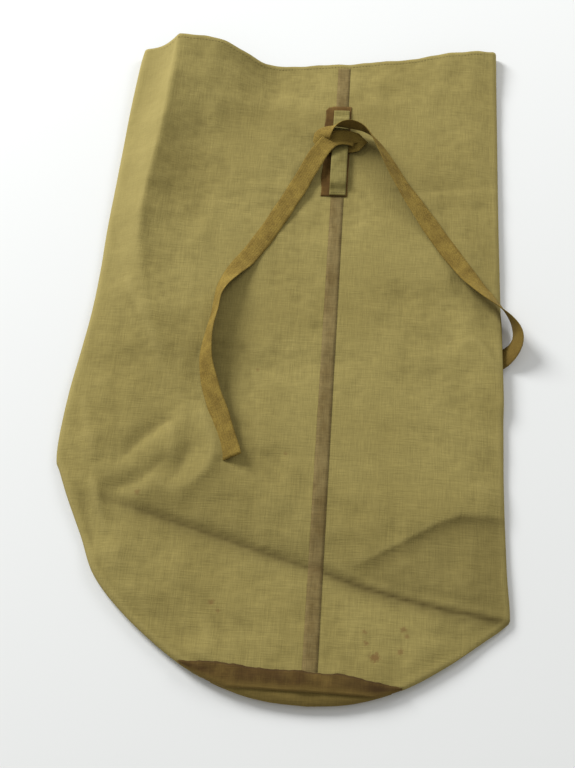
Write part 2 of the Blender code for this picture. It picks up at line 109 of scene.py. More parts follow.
# ---------------------------------------------------------------- camera
def add_camera():
    """Camera above the near end of the sack, looking down at 62 degrees."""
    camera = bpy.data.objects.new("camera", bpy.data.cameras.new("camera"))
    bpy.context.scene.collection.objects.link(camera)
    elevation, azimuth, distance = math.radians(62.0), math.radians(3.8), 1.438
    back = Vector((math.sin(azimuth) * math.cos(elevation), -math.cos(azimuth) * math.cos(elevation),
                   math.sin(elevation)))
    camera.location = Vector((0.0, -0.074, 0.0)) + back * distance
    camera.rotation_euler = (math.pi / 2 - elevation, 0.0, azimuth)
    camera.data.lens = 56.7
    camera.data.sensor_width = 36.0
    bpy.context.scene.camera = camera


# ---------------------------------------------------------------- shape of the laid cloth
def ramp(value):
    """Smooth step from 0 to 1 as value goes from 0 to 1."""
    t = np.clip(value, 0.0, 1.0)
    return t * t * (3.0 - 2.0 * t)


def rounding(distance, reach):
    """Rounded rise from a folded edge: 0 on the edge, 1 from reach inwards."""
    t = 1.0 - np.clip(distance / reach, 0.0, 1.0)
    return np.sqrt(1.0 - t * t)


# Outline of the laid sack from its lowest point, up the left fold and up the right one
LEFT_SIDE = ((0.045, -0.4540), (0.005, -0.4520), (-0.030, -0.4450), (-0.072, -0.4290), (-0.113, -0.4040),
             (-0.161, -0.3650), (-0.196, -0.3260), (-0.216, -0.2830), (-0.238, -0.2380), (-0.2520, -0.2060),
             (-0.2575, -0.1930), (-0.2590, -0.1600), (-0.2560, -0.1020), (-0.2500, -0.0450),
             (-0.2450, 0.0100),
             (-0.2430, 0.0700), (-0.2430, 0.1300), (-0.2410, 0.1950), (-0.2390, 0.2570), (-0.2370, 0.3250),
             (-0.2330, 0.4000), (-0.2290, 0.4300))
RIGHT_SIDE = ((0.045, -0.4540), (0.085, -0.4500), (0.121, -0.4400), (0.155, -0.4250), (0.193, -0.4010),
              (0.228, -0.3745), (0.253, -0.3545), (0.2575, -0.3430), (0.2550, -0.2900), (0.2535, -0.1950),
              (0.2545, -0.0950), (0.2535, 0.0500), (0.2530, 0.2000), (0.2540, 0.4300))


def spline(points, count):
    """Smooth curve through points, as an array with count rows."""
    knots = np.array([points[0], *points, points[-1]], float)
    segments = len(points) - 1
    rows = []
    for mark in np.linspace(0.0, segments - 1e-6, count):
        i = int(mark)
        t = mark - i
        a, b, c, d = knots[i:i + 4]
        rows.append(0.5 * (2 * b + (c - a) * t + (2 * a - 5 * b + 4 * c - d) * t * t
                           + (3 * b - a - 3 * c + d) * t ** 3))
    return np.array(rows)


LEFT_LINE, RIGHT_LINE = spline(LEFT_SIDE, 400), spline(RIGHT_SIDE, 300)
LEFT_LINE[:, 1] = np.maximum.accumulate(LEFT_LINE[:, 1])
RIGHT_LINE[:, 1] = np.maximum.accumulate(RIGHT_LINE[:, 1])
UNDER_LEFT = LEFT_LINE[:np.argmin(LEFT_LINE[:, 0]) + 1]
UNDER_RIGHT = RIGHT_LINE[:np.argmax(RIGHT_LINE[:, 0]) + 1]


def left_edge(y):
    return np.interp(y, LEFT_LINE[:, 1], LEFT_LINE[:, 0])


def right_edge(y):
    return np.interp(y, RIGHT_LINE[:, 1], RIGHT_LINE[:, 0])


def bottom_edge(x):
    """Lowest point of the outline at x."""
    on_left = np.interp(-x, -UNDER_LEFT[:, 0], UNDER_LEFT[:, 1])
    on_right = np.interp(x, UNDER_RIGHT[:, 0], UNDER_RIGHT[:, 1])
    return np.maximum(on_left, on_right)


# How far the mouth reaches past its line at the seam: x, distance
MOUTH_LINE = spline(((-0.240, 0.002), (-0.200, 0.007), (-0.160, 0.007), (-0.120, 0.006), (-0.085, -0.006),
                     (-0.060, -0.011), (-0.015, -0.008), (0.040, 0.000), (0.120, 0.008), (0.190, 0.022),
                     (0.258, 0.031)), 120)


def mouth_shift(x):
    return np.interp(x, MOUTH_LINE[:, 0], MOUTH_LINE[:, 1])


def mouth_share(y):
    """How much of the mouth's slant the cloth at y follows."""
    return ramp((y - MOUTH_Y + 0.20) / 0.20)


def to_line(x, y, line):
    """Signed distance from a line of (x, y, value) rows, positive to its left, and the value there."""
    best = np.full(x.shape, 9.0)
    signed = np.zeros(x.shape)
    value = np.zeros(x.shape)
    for a, b in zip(line[:-1], line[1:]):
        step = b[:2] - a[:2]
        share = np.clip(((x - a[0]) * step[0] + (y - a[1]) * step[1]) / (step @ step), 0.0, 1.0)
        dx, dy = x - a[0] - share * step[0], y - a[1] - share * step[1]
        distance = np.hypot(dx, dy)
        side = np.where(step[0] * dy - step[1] * dx >= 0.0, 1.0, -1.0)
        nearer = distance < best
        best = np.where(nearer, distance, best)
        signed = np.where(nearer, distance * side, signed)
        value = np.where(nearer, a[2] + (b[2] - a[2]) * share, value)
    return signed, value


def fold(x, y, line, left, right, soft):
    """Raised (or sunk, if its values are negative) line in the cloth with its own width to each side."""
    reach = 6.0 * max(left, right)
    low, high = line[:, :2].min(axis=0) - reach, line[:, :2].max(axis=0) + reach
    near = (x > low[0]) & (x < high[0]) & (y > low[1]) & (y < high[1])
    result = np.zeros(x.shape)
    signed, value = to_line(x[near], y[near], line)
    width = np.where(signed > 0.0, left, right)
    result[near] = value * np.exp(-((np.hypot(signed, soft) - soft) / width) ** 1.35)
    return result


# Folds: points (x, y, height), then the width to the left and right of their course, and softness
FOLDS = (
    # soft end of the ridge under the arch
    (((-0.226, 0.100, 0.0), (-0.208, 0.050, 0.006), (-0.180, 0.005, 0.0055), (-0.152, -0.055, 0.004),
      (-0.128, -0.095, 0.0)), 0.020, 0.012, 0.002),
    # crosswise creases left by folding the sack for storage
    (((-0.160, 0.176, 0.0), (-0.110, 0.184, -0.0009), (-0.015, 0.196, -0.0009), (0.030, 0.198, 0.0)),
     0.010, 0.006, 0.001),
    (((0.100, 0.205, 0.0), (0.140, 0.210, -0.0016), (0.200, 0.220, -0.0018), (0.252, 0.229, -0.0012)),
     0.012, 0.007, 0.001),
    (((-0.052, -0.176, 0.0), (-0.010, -0.174, -0.0006), (0.044, -0.173, -0.0006), (0.125, -0.180, 0.0)),
     0.006, 0.003, 0.0008),
    # crumples at the left, above the long crease
    (((-0.118, -0.130, 0.0), (-0.136, -0.138, -0.0040), (-0.150, -0.148, -0.0062),
      (-0.166, -0.164, -0.0054), (-0.180, -0.184, -0.0034), (-0.198, -0.205, 0.0)), 0.010, 0.014, 0.001),
    (((-0.128, -0.180, 0.0), (-0.142, -0.194, -0.0034), (-0.158, -0.210, -0.0050),
      (-0.178, -0.222, -0.0046), (-0.204, -0.232, 0.0)), 0.010, 0.013, 0.001),
    (((-0.108, -0.106, 0.0), (-0.092, -0.136, 0.0036), (-0.078, -0.168, 0.0056), (-0.084, -0.196, 0.0056),
      (-0.104, -0.216, 0.0028), (-0.124, -0.226, 0.0)), 0.011, 0.016, 0.001),
    (((-0.140, -0.128, 0.0), (-0.130, -0.148, 0.0032), (-0.126, -0.172, 0.0030), (-0.128, -0.190, 0.0)),
     0.014, 0.014, 0.001),
    (((-0.108, -0.160, 0.0), (-0.110, -0.178, -0.0026), (-0.120, -0.204, -0.0028), (-0.130, -0.220, 0.0)),
     0.009, 0.009, 0.001),
    (((-0.242, -0.085, 0.0), (-0.233, -0.130, 0.0034), (-0.221, -0.170, 0.0034), (-0.212, -0.195, 0.0)),
     0.010, 0.016, 0.001),
    # tucks at the left fold, around the end of the long crease
    (((-0.216, -0.212, 0.0), (-0.206, -0.230, 0.0046), (-0.199, -0.250, 0.0046), (-0.187, -0.288, 0.0)),
     0.005, 0.008, 0.001),
    (((-0.228, -0.218, 0.0), (-0.217, -0.250, -0.0040), (-0.207, -0.285, -0.0032), (-0.198, -0.305, 0.0)),
     0.006, 0.006, 0.001),
    (((-0.204, -0.280, 0.0), (-0.184, -0.306, 0.0042), (-0.163, -0.330, 0.0)), 0.016, 0.012, 0.003),
    # small fold at the right edge under the loop of the tie
    (((0.200, -0.018, 0.0), (0.213, -0.008, 0.0016), (0.227, -0.012, 0.0026), (0.238, -0.031, 0.0028),
      (0.250, -0.052, 0.0010)), 0.004, 0.008, 0.001),
    (((0.218, -0.190, 0.0), (0.232, -0.203, 0.0026), (0.246, -0.214, 0.0010)), 0.010, 0.008, 0.002),
    # soft folds above the base
    (((-0.074, -0.335, 0.0), (-0.066, -0.358, -0.0018), (-0.050, -0.380, -0.0014), (-0.034, -0.395, 0.0)),
     0.010, 0.008, 0.0015),
    (((-0.070, -0.372, 0.0), (-0.062, -0.392, 0.0022), (-0.064, -0.412, 0.0016), (-0.066, -0.424, 0.0)),
     0.010, 0.010, 0.002),
    (((-0.120, -0.350, 0.0), (-0.105, -0.372, -0.0022), (-0.092, -0.392, -0.0026),
      (-0.080, -0.412, -0.001)), 0.014, 0.012, 0.003),
)

FOLD_LINES = [(spline(points, 4 * len(points)), *widths) for points, *widths in FOLDS]

# Long crease across the sack, where the spare cloth inside is folded back: x, y, depth, reach above it
CREASE = np.array((
    (-0.225, -0.228, 0.0000, 0.030), (-0.200, -0.235, 0.0026, 0.040), (-0.142, -0.249, 0.0066, 0.065),
    (-0.073, -0.269, 0.0088, 0.085), (-0.016, -0.286, 0.0090, 0.080), (0.030, -0.298, 0.0082, 0.060),
    (0.067, -0.309, 0.0070, 0.034), (0.100, -0.320, 0.0074, 0.034), (0.137, -0.330, 0.0080, 0.036),
    (0.180, -0.339, 0.0082, 0.038), (0.256, -0.349, 0.0062, 0.040)))

# Upper edge of the sunk facet between the long crease and the right fold: x, y
FACET = np.array(((0.060, -0.308), (0.100, -0.291), (0.137, -0.269), (0.180, -0.242), (0.205, -0.232),
                  (0.256, -0.231)))


def long_crease(x, y):
    """Sunk line with a slope above it, which widens to a flat facet at the right."""
    line, depth, reach = (np.interp(x, CREASE[:, 0], CREASE[:, k]) for k in (1, 2, 3))
    above = y - line
    slope = np.clip(1.0 - above / reach, 0.0, 1.0)
    steep = np.exp(-np.maximum(above, 0.0) / 0.009)
    upper = 0.50 * slope ** 1.8 + 0.50 * steep
    lower = 0.12 * np.exp(np.minimum(above, 0.0) / 0.003) + 0.88 * np.exp(np.minimum(above, 0.0) / 0.075)
    below_facet = np.interp(x, FACET[:, 0], FACET[:, 1]) - y
    fall = 0.0042 * ramp((x - 0.060) / 0.05) * (1.0 - np.exp(-np.maximum(below_facet, 0.0) / 0.010))
    return -depth * np.where(above > 0.0, upper, lower) - fall * np.clip(above / 0.012, 0.0, 1.0)


# Crest of the arch: x, y, height over the flat cloth, width of the slope on its left
RIDGE = ((-0.181, 0.470, 0.0305, 0.046), (-0.181, 0.425, 0.0300, 0.046), (-0.184, 0.339, 0.0265, 0.047),
         (-0.188, 0.273, 0.0235, 0.046), (-0.194, 0.208, 0.0205, 0.044), (-0.199, 0.154, 0.0170, 0.040),
         (-0.197, 0.105, 0.0100, 0.030), (-0.188, 0.055, 0.0060, 0.024), (-0.176, 0.015, 0.0030, 0.018),
         (-0.160, -0.030, 0.0000, 0.015))
RIDGE_LINE = spline(RIDGE, 40)


def arch(x, y):
    """Open fold at the left of the mouth: a straight slope up to a sharp crest, a hollow slope down."""
    signed, height = to_line(x, y, RIDGE_LINE[:, :3])
    width = np.interp(-y, -RIDGE_LINE[:, 1], RIDGE_LINE[:, 3])
    at_top = ramp((y - 0.27) / 0.16)
    foot = 0.007 * at_top
    inward = np.clip(1.0 + signed / width, 0.0, 1.0) ** (1.0 + 2.0 * at_top)
    falling = (1.0 - np.clip(signed / 0.100, 0.0, 1.0)) ** 2.4
    domed = 0.5 + 0.5 * np.cos(math.pi * np.clip(signed / 0.140, 0.0, 1.0) ** 1.9)
    right = falling + (domed - falling) * at_top
    return np.where(signed < 0.0, foot + (height - foot) * inward, height * right)


def crease_shade(x, y):
    """Painted shade, with some grime, along the long crease and, more faintly, painted shade on the facet
    above it.
    """
    line, depth = (np.interp(x, CREASE[:, 0], CREASE[:, k]) for k in (1, 2))
    above = y - line + 0.0020
    share = np.minimum(depth / 0.0065, 1.0)
    width = np.where(above > 0.0, 0.0065, 0.0080)
    near = (0.78 + 0.14 * ramp((x - 0.02) / 0.08)) * np.exp(-np.abs(above) / width)
    wide = 0.20 * np.exp(-np.maximum(above, 0.0) / 0.045) * (above > 0.0)
    below_facet = np.interp(x, FACET[:, 0], FACET[:, 1]) - y
    inside = ramp((x - 0.075) / 0.04) * ramp(below_facet / 0.005 + 0.3) * ramp(above / 0.004)
    facet = inside * (0.30 + 0.16 * np.exp(-np.maximum(below_facet, 0.0) / 0.009))
    return share * np.maximum(near, np.maximum(facet, wide))


def undulation(x, y):
    """Slight unevenness of laid canvas: sums of long and short waves with fixed directions."""
    draw = np.random.default_rng(7)
    total = np.zeros(x.shape)
    for count, low, high, size in ((14, 0.11, 0.26, 0.00055), (26, 0.030, 0.075, 0.00013),
                                   (30, 0.012, 0.026, 0.000035)):
        for _ in range(count):
            angle, phase = draw.uniform(0.0, math.pi), draw.uniform(0.0, 2.0 * math.pi)
            length = draw.uniform(low, high)
            wave = (x * math.cos(angle) + y * math.sin(angle)) * 2.0 * math.pi / length
            total += size * np.sin(wave + phase)
    return total


def base_distance(x, y):
    """Distance outside the rim of the base where it lies flat; negative inside."""
    return np.hypot(x - BASE_X, np.maximum(y - BASE_Y, 0.0)) - BASE_RADIUS


def floor_height(x, y):
    """Underside of the lower layer, lifted over the rim of the base and over the tail of the tie."""
    low, high = TIE_PASSAGE_Y
    along = ramp((y - low) / 0.03 + 1.0) * ramp((high - y) / 0.03 + 1.0)
    inward = ramp((x - RIGHT + TIE_PASSAGE_REACH) / 0.03 + 1.0)
    lift = TIE_PASSAGE * along * inward * (1.0 + 0.9 * ramp((x - RIGHT + 0.035) / 0.03))
    sewn = 0.0021 * ramp(1.0 - (base_distance(x, y) - 0.006) / 0.05)
    return np.maximum(sewn, lift)


def crown(x, y):
    """Height of the top layer away from the folded edges."""
    near_mouth = ramp(1.0 - (MOUTH_Y - y) / 0.10)
    middle = np.exp(-((x - 0.02) / 0.10) ** 2)
    corner = 0.008 * np.exp(-((RIGHT - x) / 0.09) ** 2) * ramp(1.0 - (MOUTH_Y - y) / 0.12)
    height = PLATEAU + arch(x, y) + corner - 0.004 * near_mouth * middle + long_crease(x, y)
    for line, left, right, soft in FOLD_LINES:
        height = height + fold(x, y, line, left, right, soft)
    rise = undulation(x, y)
    calm = np.where(rise > 0.0, CALM_RISE * np.tanh(rise / CALM_RISE), rise)
    under_tie = ramp((x + 0.13) / 0.03) * ramp((y + 0.24) / 0.04) * ramp((0.35 - y) / 0.04)
    return height + rise + (calm - rise) * under_tie


def waist(x, y):
    """Height of the folded edge itself."""
    lift = ramp(1.0 - (MOUTH_Y - y) / 0.32) * np.exp(-((x - LEFT) / 0.05) ** 2)
    return floor_height(x, y) + 0.0045 + 0.007 * lift


def edge_rise(x, y):
    """From 0 on the outline to 1 inside: a tight round fold, then a slow rise."""
    side = np.minimum(x - left_edge(y), right_edge(y) - x)
    low = y - bottom_edge(x)
    near = rounding(side, 0.007) * rounding(low, 0.009)
    far = ramp(side / 0.045) * ramp(low / 0.030)
    return 0.55 * near + 0.45 * far


def top_height(x, y):
    """Outer face of the top layer."""
    mid = waist(x, y)
    return mid + (crown(x, y) - mid) * edge_rise(x, y)


def under_height(x, y):
    """Outer face of the lower layer."""
    mid = waist(x, y)
    side = np.minimum(x - left_edge(y), right_edge(y) - x)
    rise = rounding(side, 0.012) * rounding(y - bottom_edge(x), 0.012)
    return mid - (mid - floor_height(x, y)) * rise


# ---------------------------------------------------------------- mesh helpers
def add_mesh(name, verts, faces):
    mesh = bpy.data.meshes.new(name)
    mesh.from_pydata([tuple(v) for v in verts], [], faces)
    mesh.update()
    mesh.shade_smooth()
    obj = bpy.data.objects.new(name, mesh)
    bpy.context.scene.collection.objects.link(obj)
    return obj


def grid_faces(rows, columns, closed=False):
    faces = []
    for r in range(rows - 1):
        for c in range(columns if closed else columns - 1):
            d = (c + 1) % columns
            faces.append((r * columns + c, r * columns + d, (r + 1) * columns + d, (r + 1) * columns + c))
    return faces


def thicken(obj, thickness, offset):
    solid = obj.modifiers.new("thickness", "SOLIDIFY")
    solid.thickness = thickness
    solid.offset = offset
    solid.use_rim = True


def point_attribute(obj, name, values):
    """Three values for each vertex, for a material to read."""
    attribute = obj.data.attributes.new(name, "FLOAT_VECTOR", "POINT")
    attribute.data.foreach_set("vector", np.asarray(values, np.float32).ravel())


def dress(obj, material, tones=None):
    """Material of a cloth piece and two tones for each vertex: how much painted shade and stain darken it,
    and how much painted highlight and wear lighten it.
    """
    if tones is None:
        tones = np.zeros((len(obj.data.vertices), 3))
    point_attribute(obj, "tone", tones)
    obj.data.materials.append(material)
    return obj


def place(obj, body, slot, *nodes):
    """Put a piece on a body in place of the CAD nodes it stands for; slot is not used."""
    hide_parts(*nodes)
    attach(obj, body)
    return obj


# ---------------------------------------------------------------- materials
def node(tree, kind, values=None, **settings):
    """New shader node with its settings, and its inputs set or linked."""
    made = tree.nodes.new(kind)
    for key, value in settings.items():
        setattr(made, key, value)
    for key, value in (values or {}).items():
        if isinstance(value, bpy.types.NodeSocket):
            tree.links.new(value, made.inputs[key])
        else:
            made.inputs[key].default_value = value
    return made


def noise(tree, vector, stretch, detail=2.0, roughness=0.5):
    """Noise with its own number of features per metre along each axis."""
    mapped = node(tree, "ShaderNodeMapping", {"Vector": vector, "Scale": stretch})
    made = node(tree, "ShaderNodeTexNoise", {"Vector": mapped.outputs["Vector"], "Scale": 1.0,
                                             "Detail": detail, "Roughness": roughness})
    return made.outputs["Fac"]


def maths(tree, operation, first, second=0.0):
    return node(tree, "ShaderNodeMath", {0: first, 1: second}, operation=operation).outputs[0]


def span(tree, value, low, high, out_low=0.0, out_high=1.0):
    """Value from low to high mapped smoothly to out_low to out_high."""
    made = node(tree, "ShaderNodeMapRange", {"Value": value, "From Min": low, "From Max": high,
                                             "To Min": out_low, "To Max": out_high},
                interpolation_type="SMOOTHSTEP")
    return made.outputs["Result"]


def mix(tree, first, second, share, mode="MIX"):
    made = node(tree, "ShaderNodeMix", {0: share, 6: first, 7: second}, data_type="RGBA", blend_type=mode)
    return made.outputs[2]


def grey(tree, value):
    made = node(tree, "ShaderNodeCombineColor", {"Red": value, "Green": value, "Blue": value})
    return made.outputs["Color"]


def attribute(tree, name):
    """The three values stored on the mesh under a name."""
    made = node(tree, "ShaderNodeAttribute", attribute_name=name)
    split = node(tree, "ShaderNodeSeparateXYZ", {"Vector": made.outputs["Vector"]})
    return [split.outputs[k] for k in range(3)]


def cloth_shader(name, roughness, sheen=0.08):
    """Empty cloth material: its tree, its shader, and coordinates in metres on the object."""
    material = bpy.data.materials.new(name)
    material.use_nodes = True
    tree = material.node_tree
    shader = tree.nodes["Principled BSDF"]
    shader.inputs["Roughness"].default_value = roughness
    shader.inputs["Specular IOR Level"].default_value = 0.15
    shader.inputs["Sheen Weight"].default_value = sheen
    shader.inputs["Sheen Roughness"].default_value = 0.5
    shader.inputs["Sheen Tint"].default_value = (0.75, 0.62, 0.30, 1.0)
    coords = node(tree, "ShaderNodeTexCoord").outputs["Object"]
    return material, tree, shader, coords


def bump(tree, shader, height, distance, strength=1.0):
    made = node(tree, "ShaderNodeBump", {"Height": height, "Distance": distance, "Strength": strength})
    tree.links.new(made.outputs["Normal"], shader.inputs["Normal"])


def weave(tree, coords, pitch):
    """Plain weave: threads both ways, each uneven along its length."""
    weft = noise(tree, coords, (0.070 / pitch, 1.0 / pitch, 0.3 / pitch))
    warp = noise(tree, coords, (1.0 / pitch, 0.060 / pitch, 0.3 / pitch))
    return weft, warp


# Rust spots: x, y, radius, strength
SPOTS = ((0.114, -0.399, 0.0038, 0.62), (0.140, -0.391, 0.0024, 0.46), (0.143, -0.367, 0.0022, 0.48),
         (0.147, -0.374, 0.0018, 0.42), (0.102, -0.372, 0.0020, 0.38), (0.104, -0.384, 0.0020, 0.46),
         (-0.064, -0.350, 0.0024, 0.46), (-0.056, -0.359, 0.0018, 0.38), (0.004, -0.171, 0.0018, 0.30),
         (-0.159, -0.229, 0.0024, 0.38), (-0.036, -0.063, 0.0018, 0.28))


def spots(tree, coords):
    """Share of rust: small round spots with ragged rims."""
    ragged = span(tree, noise(tree, coords, (420.0, 420.0, 420.0)), 0.3, 0.7, 0.7, 1.3)
    flat = node(tree, "ShaderNodeVectorMath", {0: coords, 1: (1.0, 1.0, 0.2)}, operation="MULTIPLY")
    total = 0.0
    for x, y, radius, strength in SPOTS:
        away = node(tree, "ShaderNodeVectorMath", {0: flat.outputs["Vector"], 1: (x, y, 0.2 * PLATEAU)},
                    operation="DISTANCE")
        near = span(tree, maths(tree, "MULTIPLY", away.outputs["Value"], ragged), radius * 0.5,
                    radius * 1.9, strength, 0.0)
        total = maths(tree, "MAXIMUM", near, total)
    return total


def canvas_material(name, colour, pale, dark, with_spots=True):
    """Coarse flax canvas with slubs, blotches and rust, and painted shade and highlight on its folds."""
    material, tree, shader, coords = cloth_shader(name, 0.88)
    weft, warp = weave(tree, coords, 0.0011)
    thick_weft, thick_warp = weave(tree, coords, 0.0024)
    blotch = noise(tree, coords, (7.0, 7.0, 7.0), 3.0)
    mottle = noise(tree, coords, (45.0, 60.0, 60.0), 3.0)
    tone = mix(tree, dark, pale, span(tree, blotch, 0.3, 0.7))
    tone = mix(tree, colour, tone, 0.30)
    for value, low, high in ((weft, 0.92, 1.08), (warp, 0.92, 1.08), (thick_weft, 0.98, 1.02),
                             (thick_warp, 0.98, 1.02), (mottle, 0.965, 1.035)):
        tone = mix(tree, tone, grey(tree, span(tree, value, 0.25, 0.75, low, high)), 1.0, "MULTIPLY")
    shade_and_stain, highlight_and_wear, _ = attribute(tree, "tone")
    # painted shade towards deep brown, then painted highlight towards the pale colour
    tone = mix(tree, tone, (0.060, 0.042, 0.010, 1.0), shade_and_stain)
    tone = mix(tree, tone, pale, highlight_and_wear)
    if with_spots:
        tone = mix(tree, tone, (0.165, 0.070, 0.026, 1.0), spots(tree, coords))
    tree.links.new(tone, shader.inputs["Base Color"])
    height = maths(tree, "ADD", maths(tree, "ADD", weft, warp), maths(tree, "ADD", thick_weft, thick_warp))
    bump(tree, shader, height, 0.0005, 0.55)
    return material


def tape_material(name, colour, pale, dark, pitch, roughness):
    """Close-woven tape, darkened and lightened in places by stains and wear and by painted shade and
    highlight.
    """
    material, tree, shader, coords = cloth_shader(name, roughness, 0.1)
    weft, warp = weave(tree, coords, pitch)
    patchy = noise(tree, coords, (40.0, 30.0, 30.0), 4.0, 0.6)
    tone = mix(tree, dark, pale, span(tree, patchy, 0.32, 0.68))
    tone = mix(tree, colour, tone, 0.5)
    for value, low, high in ((weft, 0.86, 1.14), (warp, 0.88, 1.12)):
        tone = mix(tree, tone, grey(tree, span(tree, value, 0.25, 0.75, low, high)), 1.0, "MULTIPLY")
    shade_and_stain, highlight_and_wear, _ = attribute(tree, "tone")
    # painted shade and stain towards the dark colour, painted highlight and wear towards the pale one
    tone = mix(tree, tone, dark, shade_and_stain)
    tone = mix(tree, tone, pale, highlight_and_wear)
    tree.links.new(tone, shader.inputs["Base Color"])
    bump(tree, shader, maths(tree, "ADD", weft, warp), 0.0004, 0.6)
    return material


def webbing_material(name, colour, pale, dark):
    """Flax tape in herringbone: ribs that slant up to the middle from both sides."""
    material, tree, shader, coords = cloth_shader(name, 0.85)
    across, along, side = attribute(tree, "tape")
    slant = maths(tree, "ADD", along, maths(tree, "MULTIPLY", maths(tree, "ABSOLUTE", across), 0.9))
    picks = maths(tree, "SINE", maths(tree, "MULTIPLY", slant, 2.0 * math.pi / 0.0016))
    cords = maths(tree, "SINE", maths(tree, "MULTIPLY", across, 2.0 * math.pi / 0.0030))
    ribs = maths(tree, "ADD", maths(tree, "MULTIPLY", picks, 0.35), maths(tree, "MULTIPLY", cords, 0.22))
    blotch = noise(tree, coords, (60.0, 60.0, 60.0), 3.0)
    fibres = noise(tree, coords, (650.0, 650.0, 650.0), 2.0)
    tone = mix(tree, dark, pale, span(tree, blotch, 0.3, 0.7))
    tone = mix(tree, colour, tone, 0.4)
    tone = mix(tree, tone, grey(tree, span(tree, ribs, -1.0, 1.0, 0.86, 1.10)), 1.0, "MULTIPLY")
    tone = mix(tree, tone, grey(tree, span(tree, fibres, 0.25, 0.75, 0.78, 1.22)), 1.0, "MULTIPLY")
    # painted shade: the tape's underside face is darkened towards the dark colour
    tone = mix(tree, tone, dark, maths(tree, "MULTIPLY", side, 0.55))
    tree.links.new(tone, shader.inputs["Base Color"])
    bump(tree, shader, maths(tree, "ADD", ribs, fibres), 0.0003, 0.8)
    return material


def plain_material(name, colour, roughness):
    material = bpy.data.materials.new(name)
    material.use_nodes = True
    shader = material.node_tree.nodes["Principled BSDF"]
    shader.inputs["Base Color"].default_value = (*colour, 1.0)
    shader.inputs["Roughness"].default_value = roughness
    return material


# ---------------------------------------------------------------- the tube of the sack
ROWS = np.linspace(BASE_SEAM_Y, MOUTH_Y, 238)
EDGE_STEPS = np.array((0.0, 0.0004, 0.0013, 0.0028, 0.0048, 0.0070, 0.0098, 0.0132, 0.0170))
UNDER_SHARES = (np.arange(1, 21) / 20.0) ** 1.6
OPENING_RADIUS = BASE_RADIUS - SEAM_OVERLAP


def top_stations(y):
    """X positions across the top layer, with fixed ones under the seam tape."""
    left, right = float(left_edge(y)), float(right_edge(y))
    tape = np.linspace(SEAM_LOW.x, SEAM_HIGH.x, 5)
    west = np.linspace(left + EDGE_STEPS[-1], tape[0], 76)[1:-1]
    east = np.linspace(tape[-1], right - EDGE_STEPS[-1], 52)[1:-1]
    return np.concatenate([left + EDGE_STEPS, west, tape, east, right - EDGE_STEPS[::-1]])


def under_stations(y):
    """X positions of the lower layer, right to left, split where the base opens it."""
    left, right = float(left_edge(y)), float(right_edge(y))
    reach = math.sqrt(max(OPENING_RADIUS ** 2 - max(y - BASE_Y, 0.0) ** 2, 0.0))
    reach = max(reach, MIDDLE_GAP)
    inner_left = max(BASE_X - reach, left + 0.005)
    inner_right = min(BASE_X + reach, right - 0.005)
    east = right - (right - inner_right) * UNDER_SHARES
    west = left + (inner_left - left) * UNDER_SHARES
    return np.concatenate([east, west[::-1]])


def at_mouth(x, y):
    """Y position after the slant of the mouth, a little uneven along its edge."""
    wave = 0.0008 * np.sin(x * 2.0 * math.pi / 0.083 + 1.0) + 0.0005 * np.sin(x * 2.0 * math.pi / 0.031)
    return y + mouth_share(y) * mouth_shift(x) + wave * ramp((y - MOUTH_Y + 0.02) / 0.02)


def tone_of(x, y, strength=1.0):
    """Painted shade in hollows and along the long crease, painted highlight on bulges, folded edges and the
    arch's lit slope, from how the height differs from that around it.
    """
    step = 0.006
    around = 0.25 * (top_height(x - step, y) + top_height(x + step, y)
                     + top_height(x, y - step) + top_height(x, y + step))
    bend = (top_height(x, y) - around) / 0.0006
    side = np.minimum(x - left_edge(y), right_edge(y) - x)
    # painted highlight within 6 mm of the folded edges
    edge_highlight = 0.35 * ramp(1.0 - side / 0.006)
    # painted shade in hollows, and the long crease's painted shade
    shade_and_stain = np.maximum(np.clip(-bend, 0.0, 1.0) * 0.22 * strength, crease_shade(x, y))
    signed, height = to_line(x, y, RIDGE_LINE[:, :3])
    # painted highlight on the lit left slope of the arch where it stands high
    lit_slope_light = 0.55 * ramp(-signed / 0.004) * ramp(height / 0.012)
    # painted highlight on bulges, at the folded edges and on the lit slope
    highlight_and_wear = np.clip(np.clip(bend, 0.0, 1.0) * 0.35 * strength + edge_highlight + lit_slope_light, 0.0, 1.0)
    return np.stack([shade_and_stain, highlight_and_wear, np.zeros(x.shape)], axis=-1)


def make_body(material):
    tops = np.array([top_stations(y) for y in ROWS])
    unders = np.array([under_stations(y) for y in ROWS])
    xs = np.concatenate([tops, unders], axis=1)
    ys = np.repeat(ROWS[:, None], xs.shape[1], axis=1)
    count = tops.shape[1]
    zs = np.concatenate([top_height(tops, ys[:, :count]), under_height(unders, ys[:, count:])], axis=1)
    half = count + len(UNDER_SHARES)
    rows, columns = xs.shape
    open_rows = ROWS < BASE_Y + OPENING_RADIUS
    faces = []
    for k, face in enumerate(grid_faces(rows, columns, closed=True)):
        r, c = divmod(k, columns)
        if c != half - 1 or not (open_rows[r] or open_rows[r + 1]):
            faces.append(face)
    verts = np.stack([xs, at_mouth(xs, ys), zs], axis=-1).reshape(-1, 3)
    verts[:, 2] = np.maximum(verts[:, 2], 0.0)
    body = add_mesh("sack_cloth", verts, faces)
    thicken(body, CLOTH, -1.0)
    # painted shade and highlight from tone_of, stored on the cloth as its tone
    return dress(body, material, tone_of(xs, ys))


